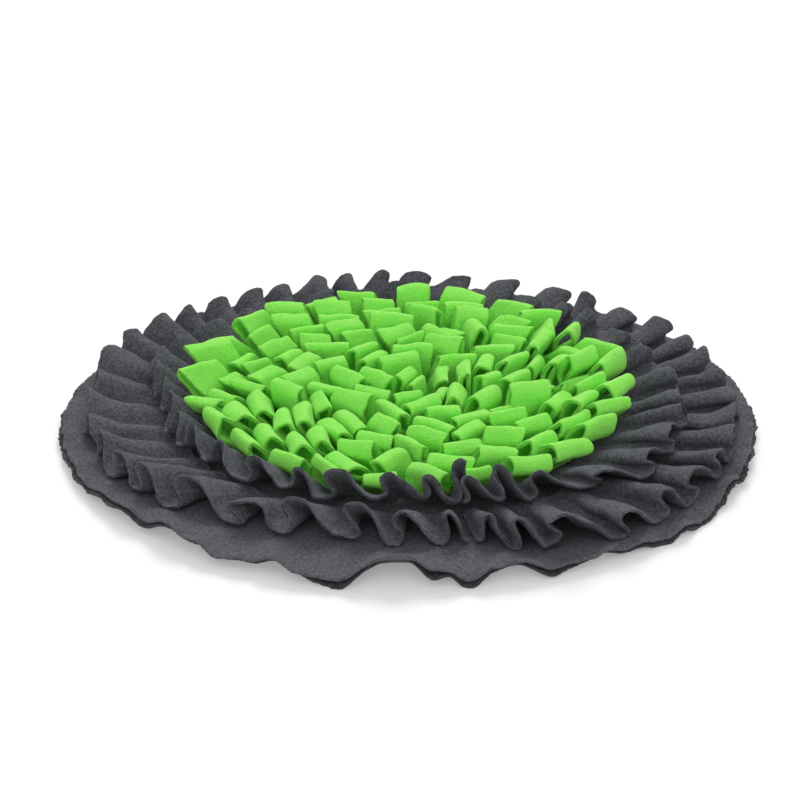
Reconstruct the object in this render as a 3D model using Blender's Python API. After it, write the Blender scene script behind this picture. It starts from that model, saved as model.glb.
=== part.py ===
"""Round snuffle mat of fleece, lying flat with its centre on the origin and its underside at z = 0.

Two grey discs make the base. Two grey gathered strips stand round it as ruffles, one inside the other.
Lime green strips, each folded over into a loop, fill the middle. They are sewn down in nine round rows.
"""

import math
import random

import bpy
import numpy as np
from mathutils.bvhtree import BVHTree

MM = 0.001

# Cloth
GREY_THICKNESS = 2.2 * MM
GREEN_THICKNESS = 2.5 * MM
PIECE_GAP = 0.3 * MM
GREY = (0.066, 0.069, 0.074)
GREEN = (0.21, 0.66, 0.085)
GREY_ROUGHNESS = 0.95
GREEN_ROUGHNESS = 0.9
SHARP_ANGLE = math.radians(40)

# Base discs
RIM_RADIUS = 253 * MM
RIM_PULL_IN = 0.8  # how far a lifted stretch of the rim is drawn inwards, as a share of its lift
RIM_RISE_POWER = 1.5  # how late the lift comes between the flat middle and the rim
FLAT_RADIUS = 206 * MM  # inside this the base lies flat
TOP_DISC_INSET = 2.0 * MM
INSET_UNEVENNESS = 0.7
INSET_WAVES = 7
BASE_SEGMENTS = 96
TOP_DISC_UNDERSIDE = GREY_THICKNESS + PIECE_GAP
SEAM_BOTTOM = TOP_DISC_UNDERSIDE + GREY_THICKNESS + PIECE_GAP

# The rim's waves, from one dip or rise to the next. Columns: azimuth in degrees, lift in mm.
RIM_WAVES = (
    (11, 4.0),
    (25, 6.5),
    (38, 3.0),
    (53, 5.5),
    (66, 2.0),
    (80, 4.5),
    (93, 1.5),
    (108, 4.5),
    (122, 2.0),
    (137, 5.5),
    (151, 3.0),
    (166, 6.0),
    (180, 3.5),
    (194, 5.0),
    (202, 7.0),
    (209, 5.5),
    (218, 8.0),
    (231, 11.0),
    (243, 5.0),
    (250, 9.0),
    (259, 3.0),
    (269, 17.0),
    (278, 5.5),
    (285, 11.0),
    (291, 4.0),
    (298, 7.5),
    (306, 4.2),
    (317, 2.0),
    (332, 6.0),
    (351, 7.5),
)

# Ruffles: strips gathered along their inner edge, which is sewn down. Their outer edge is free.
SEAM_AZIMUTH = 281  # where the two ends of each strip meet, in degrees
SEAM_OPENING = 0.7  # from the seam to either end, in degrees
FOLD_STEPS = 8
ROWS_ACROSS = (0.0, 0.5, 1.0)
ROOT_FOLD_SHARE = 0.14  # height of the folds at the stitches, as a share of that at the free edge
FOLD_UNEVENNESS = 0.28
FOLD_CREST = (0.82, 1.08)  # height of a crest, as a share of the table's
FOLD_LEAN = (0.16, 0.36)  # how far a crest leans back over its fold, as a share of the fold's width
FAR_SWELL = 0.3  # how far a fold's other flank bulges, as a share of the steep flank's swell
END_FOLD_WIDTH = 0.62  # the folds next to the seam, against the others
END_FOLD_CREST = 1.15
TAB_CREST = 1.5

OUTER_STITCH_RADIUS = 166 * MM
OUTER_FOLDS = 42
OUTER_SEED = 11
OUTER_SWELL = (0.13, 0.21)  # how far a fold's steep flank curls under its crest, as a share of its width
# Columns: azimuth in degrees; free edge's radius, its mean rise and half its folds' height, in mm.
OUTER_SHAPE = (
    (0, 232, 8.5, 9),
    (30, 232, 10, 9.5),
    (60, 222, 15, 9.5),
    (90, 209, 21, 9.5),
    (120, 222, 15, 9.5),
    (155, 237, 10, 9.5),
    (195, 228, 8.5, 9.5),
    (217, 224, 9, 10.5),
    (238, 207, 10.5, 11),
    (268, 197, 11, 11),
    (280, 203, 10.5, 11),
    (292, 229, 9, 10.5),
    (306, 238, 8.5, 10),
    (325, 234, 8.5, 9.5),
)

INNER_STITCH_RADIUS = 142 * MM
INNER_FOLDS = 36
INNER_SEED = 5
INNER_SWELL = (0.1, 0.16)
# The same columns as for the outer ruffle.
INNER_SHAPE = (
    (0, 193, 18, 8),
    (45, 184, 22, 8),
    (90, 176, 26, 8),
    (135, 182, 24, 8),
    (165, 196, 19, 8),
    (190, 174, 18, 8.5),
    (225, 170, 18, 8.5),
    (270, 164, 16, 8.5),
    (302, 180, 18, 8),
    (320, 201, 19.5, 7.5),
    (340, 197, 19, 7.5),
)

# Loops: strips folded over and sewn down by both ends
LOOP_RINGS = 9
FIRST_RING_RADIUS = 9 * MM
RING_PITCH = 15.8 * MM
FIELD_RADIUS = FIRST_RING_RADIUS + (LOOP_RINGS - 1) * RING_PITCH
LOOP_PITCH = 31 * MM
TAPE_HEIGHT = 2.0 * MM
SEAM_TOP = SEAM_BOTTOM + TAPE_HEIGHT
LOOP_WIDTH = (25 * MM, 33 * MM)
LOOP_BELLY = (10.5 * MM, 15 * MM)
LOOP_HEIGHT_SPREAD = (0.92, 1.08)
LOOP_WAY_SPREAD = 34  # degrees either way
LOOP_LEAN_SPREAD = 0.2  # radians
LOOP_CURL_SPREAD = 0.08  # how much higher one leg of a loop bends over than the other
LOOP_SKEW_SPREAD = 0.1  # how much higher one edge of a loop stands than the other
MOST_TURN = 62  # degrees that a loop's top may be turned from its row
FOOT_SHARE = 0.6  # width of a loop at its stitches, where it is pinched, as a share of that at its top
BEND_SHARE = 0.6  # the share of a loop's height in which it turns and leans
BELLY_HEIGHT = 0.74  # where a loop is widest, and how wide its top is
TOP_WIDTH = 0.6
FUSED_SHARE = 0.1  # height up to which the two legs are one
MOST_SINE = 0.95
LOOP_SEED = 5
LOOP_TRIES = 110
SHRINK_PER_TRY = 0.005
# How far a smaller loop may be turned and leant away, in degrees and in radians, per share that it is smaller
TRY_TURN = 70
TRY_LEAN = 1.0
SMALL_WIDTH = 12 * MM
SMALL_HEIGHT = 20 * MM
SMALL_BELLY = 8 * MM
LOOP_ROOM = 0.45 * MM
NEIGHBOUR_REACH = 80 * MM

# Which way the loops' tops point at the edge of the field. Columns: azimuth in degrees, degrees from +X.
LOOP_WAYS = (
    (0, 45),
    (30, 5),
    (60, -20),
    (90, 0),
    (115, 20),
    (145, 42),
    (180, 10),
    (205, -40),
    (235, -60),
    (270, -35),
    (300, 0),
    (325, 10),
)
# How far out the loops' tops may reach. Columns: azimuth in degrees, radius in mm.
LOOP_REACH = (
    (0, 163),
    (45, 160),
    (90, 154),
    (135, 161),
    (180, 166),
    (225, 160),
    (270, 153),
    (315, 160),
)

# How the loops push each other aside until they find room. Columns: a level on a loop as a share of its
# height, how thick the loop is there as a share of its belly.
PUSH_LEVELS = (
    (0.25, 0.5),
    (0.55, 0.8),
    (1.0, 1.0),
)
SETTLE_STEPS = 240
PUSH_SHARE = 0.4
PUSH_LEVEL = 0.35  # how much they push up and down, against sideways
SETTLE_ROOM = 0.8 * MM
MOST_LEAN = math.radians(40)
LEAN_GAIN = 1.55  # a top's lean, against that of the straight line from foot to top


def eased(share):
    """A share from 0 to 1, made to start and end gently."""
    return share * share * (3 - 2 * share)


def read_round(table, azimuth, column):
    """The value in a column of a table at an azimuth in degrees, eased from row to row all the way round."""
    azimuth %= 360
    after = next((i for i, row in enumerate(table) if row[0] > azimuth), 0)
    start, end = table[after - 1], table[after]
    share = ((azimuth - start[0]) % 360) / ((end[0] - start[0]) % 360)
    return start[column] + (end[column] - start[column]) * eased(share)


def on_circle(radius, azimuth, height):
    angle = math.radians(azimuth)
    return np.array((radius * math.cos(angle), radius * math.sin(angle), height))


def make_material(name, colour, roughness):
    material = bpy.data.materials.new(name)
    material.use_nodes = True
    shader = material.node_tree.nodes["Principled BSDF"]
    shader.inputs["Base Color"].default_value = (*colour, 1)
    shader.inputs["Roughness"].default_value = roughness
    shader.inputs["Metallic"].default_value = 0
    return material


def make_object(name, points, faces, material):
    mesh = bpy.data.meshes.new(name)
    mesh.from_pydata([tuple(map(float, point)) for point in points], [], faces)
    mesh.shade_smooth()
    mesh.set_sharp_from_angle(angle=SHARP_ANGLE)
    mesh.materials.append(material)
    made = bpy.data.objects.new(name, mesh)
    bpy.context.scene.collection.objects.link(made)
    return made


# Base


def rim_lift(azimuth):
    return read_round(RIM_WAVES, azimuth, 1) * MM


def rim_radius(azimuth):
    return RIM_RADIUS - RIM_PULL_IN * rim_lift(azimuth)


def base_lift(radius, azimuth):
    """How far the base is lifted off the floor at a place."""
    share = (radius - FLAT_RADIUS) / (rim_radius(azimuth) - FLAT_RADIUS)
    return rim_lift(azimuth) * max(share, 0.0) ** RIM_RISE_POWER


def top_disc_rings(azimuth):
    """The radii of the upper disc's rings of points."""
    uneven = 1 + INSET_UNEVENNESS * math.sin(math.radians(INSET_WAVES * azimuth))
    edge = rim_radius(azimuth) - TOP_DISC_INSET * uneven
    return FLAT_RADIUS, (FLAT_RADIUS + edge) / 2, edge


def bottom_disc_rings(azimuth):
    """The lower disc's rings are those of the upper one, so that the two lie flush, and its own rim."""
    return *top_disc_rings(azimuth), rim_radius(azimuth)


def disc(name, underside, rings_at, material):
    """A disc of cloth: a flat middle, and rings of points that follow the waves out to the rim."""
    azimuths = [360 * segment / BASE_SEGMENTS for segment in range(BASE_SEGMENTS)]
    points = [
        on_circle(radius, azimuth, height + base_lift(radius, azimuth))
        for height in (underside, underside + GREY_THICKNESS)
        for azimuth in azimuths
        for radius in rings_at(azimuth)
    ]
    rings = len(rings_at(0))
    layer = BASE_SEGMENTS * rings
    middle = [segment * rings for segment in range(BASE_SEGMENTS)]
    faces = [middle[::-1], [layer + corner for corner in middle]]
    for segment in range(BASE_SEGMENTS):
        here = segment * rings
        ahead = (segment + 1) % BASE_SEGMENTS * rings
        for ring in range(rings - 1):
            a, b, c, d = here + ring, here + ring + 1, ahead + ring + 1, ahead + ring
            faces += [(a, c, b), (a, d, c)]
            faces += [(layer + a, layer + b, layer + c), (layer + a, layer + c, layer + d)]
        a, b = here + rings - 1, ahead + rings - 1
        faces += [(a, b, layer + b), (a, layer + b, layer + a)]
    return make_object(name, points, faces, material)


# Ruffles


def fold_widths(folds, rng):
    """Uneven widths for a ruffle's folds, the ones next to the seam narrow, as shares of the whole."""
    widths = [1 + rng.uniform(-FOLD_UNEVENNESS, FOLD_UNEVENNESS) for _ in range(folds)]
    for end in (0, 1, -1):
        widths[end] *= END_FOLD_WIDTH
    return np.array(widths) / sum(widths)


def ruffle(name, shape, stitch_radius, folds, swells, seed, has_tab, material):
    """A strip gathered along its inner edge. Its folds grow towards the free edge and lean to one side."""
    rng = random.Random(seed)
    widths = (360 - 2 * SEAM_OPENING) * fold_widths(folds, rng)
    starts = SEAM_AZIMUTH + SEAM_OPENING + np.cumsum(widths) - widths
    grid = []
    for fold, (start, width) in enumerate(zip(starts, widths)):
        last = fold == folds - 1
        crest = rng.uniform(*FOLD_CREST) * (END_FOLD_CREST if fold in (0, 1) else 1)
        lean = rng.uniform(*FOLD_LEAN)
        # A narrow fold has no room to curl as far as a wide one.
        swell = rng.uniform(*swells) * min(width * folds / 360, 1)
        steps = FOLD_STEPS + last
        if last and has_tab:
            crest = TAB_CREST
            steps = FOLD_STEPS // 2 + 1
        for phase in np.arange(steps) / FOLD_STEPS:
            grid.append(fold_line(shape, stitch_radius, start, width, phase, crest, lean, swell))
    return make_object(name, *sheet_round(np.array(grid), GREY_THICKNESS), material)


def fold_line(shape, stitch_radius, start, width, phase, crest, lean, swell):
    """The points across a ruffle, from its stitches to its free edge, at a phase of one fold."""
    edge_radius, edge_rise, half_fold = (
        read_round(shape, start + width * phase, column) * MM for column in (1, 2, 3)
    )
    slope = math.atan2(edge_rise, edge_radius - stitch_radius)
    rise = (1 - math.cos(math.tau * phase)) / 2
    curl = FAR_SWELL + (1 - FAR_SWELL) * (1 + math.sin(math.tau * phase)) / 2
    bulge = swell * curl * math.sin(2 * math.tau * phase)
    root = SEAM_BOTTOM + GREY_THICKNESS / 2 + half_fold * ROOT_FOLD_SHARE
    line = []
    for across in ROWS_ACROSS:
        share = ROOT_FOLD_SHARE + (1 - ROOT_FOLD_SHARE) * across
        out = half_fold * share * (2 * rise * crest - 1)
        azimuth = start + width * (phase + across * (bulge - lean * rise))
        radius = stitch_radius + (edge_radius - stitch_radius) * across - out * math.sin(slope)
        height = root + edge_rise * across + out * math.cos(slope)
        line.append(on_circle(radius, azimuth, height + base_lift(radius, azimuth)))
    return line


def sheet_round(grid, thickness):
    """Points and faces of a closed sheet, half its thickness either side of a grid of points."""
    normals = np.cross(np.gradient(grid, axis=1), np.gradient(grid, axis=0))
    normals /= np.linalg.norm(normals, axis=2)[:, :, None]
    normals *= np.sign(normals[:, :, 2].mean())
    upper = grid + normals * thickness / 2
    lower = grid - normals * thickness / 2
    length, width = grid.shape[:2]
    layer = length * width
    faces = []
    for i in range(length - 1):
        for j in range(width - 1):
            a, d = i * width + j, (i + 1) * width + j
            b, c = a + 1, d + 1
            faces += [(a, b, c), (a, c, d)]
            faces += [(layer + a, layer + c, layer + b), (layer + a, layer + d, layer + c)]
    border = [i * width for i in range(length)]
    border += [(length - 1) * width + j for j in range(1, width)]
    border += [i * width + width - 1 for i in reversed(range(length - 1))]
    border += list(reversed(range(1, width - 1)))
    for a, b in zip(border, border[1:] + border[:1]):
        faces += [(b, layer + b, layer + a), (b, layer + a, a)]
    return np.concatenate([upper.reshape(-1, 3), lower.reshape(-1, 3)]), faces


# Loops


class Loop:
    """A strip folded over, standing on its stitches. It widens, turns and leans with its height."""

    def __init__(self, azimuth, radius, width, height, belly, turn, lean, curl, skew):
        self.azimuth, self.radius, self.width, self.height = azimuth, radius, width, height
        self.belly, self.turn, self.lean, self.curl, self.skew = belly, turn, lean, curl, skew
        self.half_angle = math.degrees(math.asin(min(FOOT_SHARE * width / 2 / radius, MOST_SINE)))
        angle = math.radians(azimuth)
        self.along = np.array((-math.sin(angle), math.cos(angle), 0.0))
        self.across = np.array((math.cos(angle), math.sin(angle), 0.0))
        self.foot = self.across * radius * math.cos(math.radians(self.half_angle))

    def resized(self, share, rng):
        """The same loop made narrower, lower and thinner, and turned and leant a little away."""
        width, belly = max(self.width * share, SMALL_WIDTH), max(self.belly * share, SMALL_BELLY)
        height = max(self.height * (1 + share) / 2, SMALL_HEIGHT)
        away = 1 - share
        turn = self.turn * share + TRY_TURN * away * rng.uniform(-1, 1)
        turn = max(-MOST_TURN, min(MOST_TURN, turn))
        off = np.array((rng.uniform(-1, 1), rng.uniform(-1, 1)))
        lean = self.lean * (1 + share) / 2 + TRY_LEAN * away * off
        return Loop(self.azimuth, self.radius, width, height, belly, turn, lean, self.curl, self.skew)

    def section(self, room=0.0):
        """The loop's outer and inner outline, as (across, up) pairs from one foot to the other."""
        t, h, half = GREEN_THICKNESS, self.height, self.belly / 2
        near, far = h * (1 - self.curl), h * (1 + self.curl)
        outer = [
            (-t - room, 0),
            (-half - room, BELLY_HEIGHT * near),
            (-TOP_WIDTH * half - room, near + room),
            (TOP_WIDTH * half + room, far + room),
            (half + room, BELLY_HEIGHT * far),
            (t + room, 0),
        ]
        inner = [
            (0, FUSED_SHARE * h),
            (-half + t, BELLY_HEIGHT * near),
            (-TOP_WIDTH * half + t / 2, near - t),
            (TOP_WIDTH * half - t / 2, far - t),
            (half - t, BELLY_HEIGHT * far),
        ]
        return outer, inner

    def place(self, along, across, up):
        """A point of the loop in the mat's frame, widened, turned and leant by its height."""
        up *= 1 + self.skew * along / self.width
        bend = BEND_SHARE * self.height
        share = min(up / bend, 1.0)
        along *= FOOT_SHARE + (1 - FOOT_SHARE) * share
        turn = math.radians(self.turn) * share
        edgeways = (self.along * math.cos(turn) + self.across * math.sin(turn)) * along
        through = (self.across * math.cos(turn) - self.along * math.sin(turn)) * across
        most = math.hypot(*self.lean)
        way = np.array((*self.lean, 0.0)) / most
        tilt = most * share
        rest = max(up - bend, 0.0)
        shift = bend / most * (1 - math.cos(tilt)) + rest * math.sin(tilt)
        rise = bend / most * math.sin(tilt) + rest * math.cos(tilt)
        # The fold at the top keeps level, so only the loop's thickness is tilted.
        leaning = through.dot(way)
        through = through + way * leaning * (math.cos(tilt) - 1)
        height = SEAM_TOP + rise - leaning * math.sin(tilt)
        return self.foot + edgeways + through + way * shift + np.array((0, 0, height))

    def outside(self):
        """The loop's outside with some room round it, for finding what it would touch."""
        outer, _ = self.section(LOOP_ROOM)
        half = self.width / 2 + LOOP_ROOM
        points = [self.place(side, *corner) for side in (-half, half) for corner in outer]
        count = len(outer)
        faces = [(end, end + i, end + i + 1) for end in (0, count) for i in range(1, count - 1)]
        faces += band(list(range(count)), list(range(count, 2 * count)), self.turn)
        faces += [(0, count - 1, count), (count, count - 1, 2 * count - 1)]
        return BVHTree.FromPolygons([tuple(point) for point in points], faces)

    def faces(self, outer_first, outer_second, hole_first, hole_second):
        """The loop's faces, given the numbers of its points along either edge, outside and inside."""
        hole_first, hole_second = [*hole_first, hole_first[0]], [*hole_second, hole_second[0]]
        faces = band(outer_first, outer_second, self.turn)
        faces += [face[::-1] for face in band(hole_first, hole_second, self.turn)]
        for outline, hole, turned in ((outer_first, hole_first, False), (outer_second, hole_second, True)):
            end = [(outline[0], outline[-1], hole[0])]
            for a, b, c, d in zip(outline, hole, outline[1:], hole[1:]):
                end += [(a, b, c), (c, b, d)]
            faces += [face[::-1] if turned else face for face in end]
        return faces

    def foot_corner(self, side, away):
        """A corner of the loop's foot, on its row of stitches."""
        azimuth = self.azimuth + side * self.half_angle
        return on_circle(self.radius + away * GREEN_THICKNESS, azimuth, SEAM_TOP)

    def is_sound(self):
        """Whether the loop's cloth nowhere cuts through itself."""
        outer, inner = self.section()
        points, edges = [], []
        for side in (-1, 1):
            edge = [self.foot_corner(side, -1)]
            edge += [self.place(side * self.width / 2, *corner) for corner in outer[1:-1]]
            edge += [self.foot_corner(side, 1)]
            hole = [self.place(side * self.width / 2, *corner) for corner in inner]
            for run in (edge, hole):
                edges.append(list(range(len(points), len(points) + len(run))))
                points += run
        faces = self.faces(edges[0], edges[2], edges[1], edges[3])
        tree = BVHTree.FromPolygons([tuple(point) for point in points], faces)
        return all(set(faces[a]) & set(faces[b]) for a, b in tree.overlap(tree))


def band(first, second, turn):
    """Faces between a loop's two edges, each cut from high on one edge to low on the other.

    Cut alike on both legs, and to suit the way that the loop is turned, the legs keep their distance.
    """
    faces = []
    for i, (a, b, c, d) in enumerate(zip(first, first[1:], second[1:], second)):
        rising = (i < (len(first) - 1) // 2) == (turn > 0)
        faces += [(a, b, d), (b, c, d)] if rising else [(a, b, c), (a, c, d)]
    return faces


def planned_lean(x, y):
    """How loops lean at a place, in radians along X and Y: outwards at the sides and at the front."""
    out = math.hypot(x, y) / FIELD_RADIUS
    return np.array((math.radians(38) * x / FIELD_RADIUS * out, math.radians(16 * y / FIELD_RADIUS - 8)))


def planned_height(x, y):
    """Loops stand tallest at the back, then at the sides."""
    return (32 + 10 * y / FIELD_RADIUS + 5 * (x / FIELD_RADIUS) ** 2) * MM


def nearest_shares(start, step, other_start, other_step):
    """How far along each of many pairs of straight pieces, as shares, the two come nearest."""
    gap = start - other_start
    own, other = (step * step).sum(axis=1), (other_step * other_step).sum(axis=1)
    both = (step * other_step).sum(axis=1)
    here, there = (step * gap).sum(axis=1), (other_step * gap).sum(axis=1)
    spread = np.maximum(own * other - both * both, 1e-6 * own * other)
    share = np.clip((both * there - here * other) / spread, 0, 1)
    other_share = np.clip((both * share + there) / other, 0, 1)
    return np.clip((both * other_share - here) / own, 0, 1), other_share


def settled_crowns(feet, legs, tangents, ways, halves, radii, middles):
    """The middles and directions of the loops' round tops once they have pushed each other aside.

    Each top is held at its leg's length from its foot and keeps nearly level.
    """
    levels, thick = np.array(PUSH_LEVELS).T
    i, j = np.triu_indices(len(feet), 1)
    near = np.linalg.norm(feet[i] - feet[j], axis=1) < NEIGHBOUR_REACH
    combined = [(i[near], j[near], p, q) for p in range(len(levels)) for q in range(len(levels))]
    azimuths = [math.degrees(math.atan2(y, x)) for x, y, _ in feet]
    reach = np.array([read_round(LOOP_REACH, azimuth, 1) for azimuth in azimuths]) * MM
    spans = halves[:, None] * ways
    root_spans = FOOT_SHARE * halves[:, None] * tangents
    roots = np.stack([feet - root_spans, feet + root_spans], axis=1)
    ends = np.stack([middles - spans, middles + spans], axis=1)
    for _ in range(SETTLE_STEPS):
        moves = np.zeros_like(ends)
        for i, j, p, q in combined:
            mine = roots[i] + (ends[i] - roots[i]) * levels[p]
            other = roots[j] + (ends[j] - roots[j]) * levels[q]
            step, other_step = mine[:, 1] - mine[:, 0], other[:, 1] - other[:, 0]
            share, other_share = nearest_shares(mine[:, 0], step, other[:, 0], other_step)
            apart = mine[:, 0] + step * share[:, None] - other[:, 0]
            apart -= other_step * other_share[:, None]
            distance = np.maximum(np.linalg.norm(apart, axis=1), 1e-6)
            depth = np.maximum(radii[i] * thick[p] + radii[j] * thick[q] + SETTLE_ROOM - distance, 0)
            push = apart * (PUSH_SHARE * depth / distance)[:, None] * (1, 1, PUSH_LEVEL)
            for which, where, way in ((i, share, levels[p]), (j, other_share, -levels[q])):
                np.add.at(moves[:, 0], which, way * push * (1 - where)[:, None])
                np.add.at(moves[:, 1], which, way * push * where[:, None])
        ends += moves
        out = np.linalg.norm(ends[:, :, :2], axis=2)
        over = np.maximum(out + radii[:, None] - reach[:, None], 0)
        ends[:, :, :2] -= ends[:, :, :2] * (over / np.maximum(out, 1e-6))[:, :, None] / 2
        leg = ends.mean(axis=1) - feet
        leg[:, 2] = np.maximum(leg[:, 2], np.linalg.norm(leg[:, :2], axis=1) / math.tan(MOST_LEAN))
        middles = feet + leg * (legs / np.linalg.norm(leg, axis=1))[:, None]
        ways = (ends[:, 1] - ends[:, 0]) * (1, 1, 0.8)
        ways /= np.linalg.norm(ways, axis=1)[:, None]
        ends = np.stack([middles - ways * halves[:, None], middles + ways * halves[:, None]], axis=1)
    return middles, ways


def settled_loops(places, rng):
    """A loop for each place, uneven in size and direction, moved clear of its neighbours."""
    feet, sizes, ways, leans = [], [], [], []
    for azimuth, radius in places:
        x, y, _ = foot = on_circle(radius, azimuth, SEAM_TOP)
        out = radius / FIELD_RADIUS
        width, belly = rng.uniform(*LOOP_WIDTH), rng.uniform(*LOOP_BELLY)
        feet.append(foot)
        sizes.append((width, planned_height(x, y) * rng.uniform(*LOOP_HEIGHT_SPREAD), belly))
        spread = LOOP_WAY_SPREAD * (2 - out)
        ways.append(math.radians(read_round(LOOP_WAYS, azimuth, 1) + rng.uniform(-spread, spread)))
        leans.append(planned_lean(x, y) + (rng.gauss(0, LOOP_LEAN_SPREAD), rng.gauss(0, LOOP_LEAN_SPREAD)))
    feet, (widths, heights, bellies) = np.array(feet), np.array(sizes).T
    legs = heights - bellies / 2
    ways = np.array([(math.cos(way), math.sin(way), 0) for way in ways])
    middles = feet + np.array([(*lean, 1) for lean in leans]) * legs[:, None]
    tangents = np.array([(-y, x, 0) for x, y, _ in feet]) / np.linalg.norm(feet[:, :2], axis=1)[:, None]
    tangents *= np.where((tangents * ways).sum(axis=1) < 0, -1, 1)[:, None]
    halves = (widths - bellies / 2) / 2
    middles, ways = settled_crowns(feet, legs, tangents, ways, halves, bellies / 2, middles)
    loops = []
    for (azimuth, radius), foot, size, middle, way in zip(places, feet, sizes, middles, ways):
        turn = 90 - (math.degrees(math.atan2(way[1], way[0])) - azimuth) % 180
        leg = middle - foot
        # A loop leans evenly over its lower part, so its top leans further than the line from its foot.
        lean = leg[:2] / np.linalg.norm(leg[:2]) * math.atan2(np.linalg.norm(leg[:2]), leg[2]) * LEAN_GAIN
        skew = rng.uniform(-LOOP_SKEW_SPREAD, LOOP_SKEW_SPREAD)
        curl = rng.uniform(-LOOP_CURL_SPREAD, LOOP_CURL_SPREAD)
        turn = max(-MOST_TURN, min(MOST_TURN, turn))
        loops.append(Loop(azimuth, radius, *size, turn, lean, curl, skew))
    return loops


def small_loop(azimuth, radius):
    """The least loop, for which a place is kept free."""
    x, y, _ = on_circle(radius, azimuth, 0)
    return Loop(azimuth, radius, SMALL_WIDTH, SMALL_HEIGHT, SMALL_BELLY, 0, planned_lean(x, y), 0, 0)


def fitted_loops(loops, rng, obstacle):
    """The loops made smaller, each as little as needed, until none touches another or the ruffle."""
    fitted = [small_loop(loop.azimuth, loop.radius) for loop in loops]
    outsides = [loop.outside() for loop in fitted]
    feet = np.array([loop.foot for loop in loops])
    for index, loop in enumerate(loops):
        apart = np.linalg.norm(feet - feet[index], axis=1)
        near = [outsides[i] for i in np.flatnonzero(apart < NEIGHBOUR_REACH) if i != index]
        for attempt in range(LOOP_TRIES):
            smaller = loop.resized(1 - SHRINK_PER_TRY * attempt, rng)
            outside = smaller.outside()
            if any(outside.overlap(other) for other in [*near, obstacle]):
                continue
            if smaller.is_sound():
                fitted[index], outsides[index] = smaller, outside
                break
    return fitted


def loop_ring(name, radius, loops, material):
    """A row of loops: blocks of tape under the loops and plain tape between them, in one mesh."""
    points, faces = [], []

    def add(*new):
        points.extend(new)
        return list(range(len(points) - len(new), len(points)))

    def four(a, b, c, d):
        faces.extend([(a, b, c), (a, c, d)])

    inside, outside = radius - GREEN_THICKNESS, radius + GREEN_THICKNESS
    stations = [
        add(
            on_circle(inside, azimuth, SEAM_BOTTOM),
            on_circle(outside, azimuth, SEAM_BOTTOM),
            on_circle(outside, azimuth, SEAM_TOP),
            on_circle(inside, azimuth, SEAM_TOP),
        )
        for loop in loops
        for azimuth in (loop.azimuth - loop.half_angle, loop.azimuth + loop.half_angle)
    ]
    for i, a in enumerate(stations):
        b = stations[(i + 1) % len(stations)]
        four(a[0], b[0], b[1], a[1])
        four(a[1], b[1], b[2], a[2])
        four(a[3], b[3], b[0], a[0])
        if i % 2:
            four(a[2], b[2], b[3], a[3])
    for i, loop in enumerate(loops):
        outer, inner = loop.section()
        outsides, holes = [], []
        for station, side in ((stations[2 * i], -1), (stations[2 * i + 1], 1)):
            along = side * loop.width / 2
            between = add(*(loop.place(along, *corner) for corner in outer[1:-1]))
            outsides.append([station[3], *between, station[2]])
            holes.append(add(*(loop.place(along, *corner) for corner in inner)))
        faces.extend(loop.faces(*outsides, *holes))
    return make_object(name, points, faces, material)


for old in list(bpy.data.objects):
    bpy.data.objects.remove(old, do_unlink=True)

grey = make_material("grey_fleece", GREY, GREY_ROUGHNESS)
green = make_material("green_fleece", GREEN, GREEN_ROUGHNESS)

disc("base_bottom", 0, bottom_disc_rings, grey)
disc("base_top", TOP_DISC_UNDERSIDE, top_disc_rings, grey)
outer_ruffle = (OUTER_SHAPE, OUTER_STITCH_RADIUS, OUTER_FOLDS, OUTER_SWELL, OUTER_SEED, False)
inner_ruffle = (INNER_SHAPE, INNER_STITCH_RADIUS, INNER_FOLDS, INNER_SWELL, INNER_SEED, True)
ruffle("outer_ruffle", *outer_ruffle, grey)
ruffle_mesh = ruffle("inner_ruffle", *inner_ruffle, grey).data

loop_rng = random.Random(LOOP_SEED)
ring_radii = [FIRST_RING_RADIUS + ring * RING_PITCH for ring in range(LOOP_RINGS)]
loop_places = []
for ring_radius in reversed(ring_radii):
    count = round(math.tau * ring_radius / LOOP_PITCH)
    first_azimuth = loop_rng.uniform(0, 360 / count)
    loop_places += [(first_azimuth + 360 * number / count, ring_radius) for number in range(count)]
ruffle_tree = BVHTree.FromPolygons(
    [vertex.co for vertex in ruffle_mesh.vertices], [face.vertices for face in ruffle_mesh.polygons]
)
all_loops = fitted_loops(settled_loops(loop_places, loop_rng), loop_rng, ruffle_tree)
for ring, ring_radius in enumerate(ring_radii):
    in_ring = [loop for loop in all_loops if loop.radius == ring_radius]
    loop_ring(f"loop_ring_{ring + 1}", ring_radius, in_ring, green)
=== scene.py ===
# A round snuffle mat of polar fleece, about half a metre across. Two grey discs make its base, two gathered
# grey ruffles stand round it, and lime green strips, each folded into a loop, fill the middle. Everything is
# sewn down with plain rows of stitches, which the cloth hides.

import math
import random

import bpy
import numpy as np
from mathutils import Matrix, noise
from mathutils.bvhtree import BVHTree


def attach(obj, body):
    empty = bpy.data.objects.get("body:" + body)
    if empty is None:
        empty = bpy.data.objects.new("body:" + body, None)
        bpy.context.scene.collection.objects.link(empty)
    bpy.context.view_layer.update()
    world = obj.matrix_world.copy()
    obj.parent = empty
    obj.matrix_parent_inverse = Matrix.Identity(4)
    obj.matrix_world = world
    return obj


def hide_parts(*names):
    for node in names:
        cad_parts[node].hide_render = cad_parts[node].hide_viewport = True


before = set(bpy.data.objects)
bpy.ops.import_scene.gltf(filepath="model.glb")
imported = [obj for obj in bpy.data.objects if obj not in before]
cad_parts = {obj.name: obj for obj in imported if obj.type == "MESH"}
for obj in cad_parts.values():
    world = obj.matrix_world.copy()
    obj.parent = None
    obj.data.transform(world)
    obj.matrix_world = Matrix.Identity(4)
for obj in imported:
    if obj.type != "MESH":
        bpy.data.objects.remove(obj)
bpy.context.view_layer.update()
MM = 0.001

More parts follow.
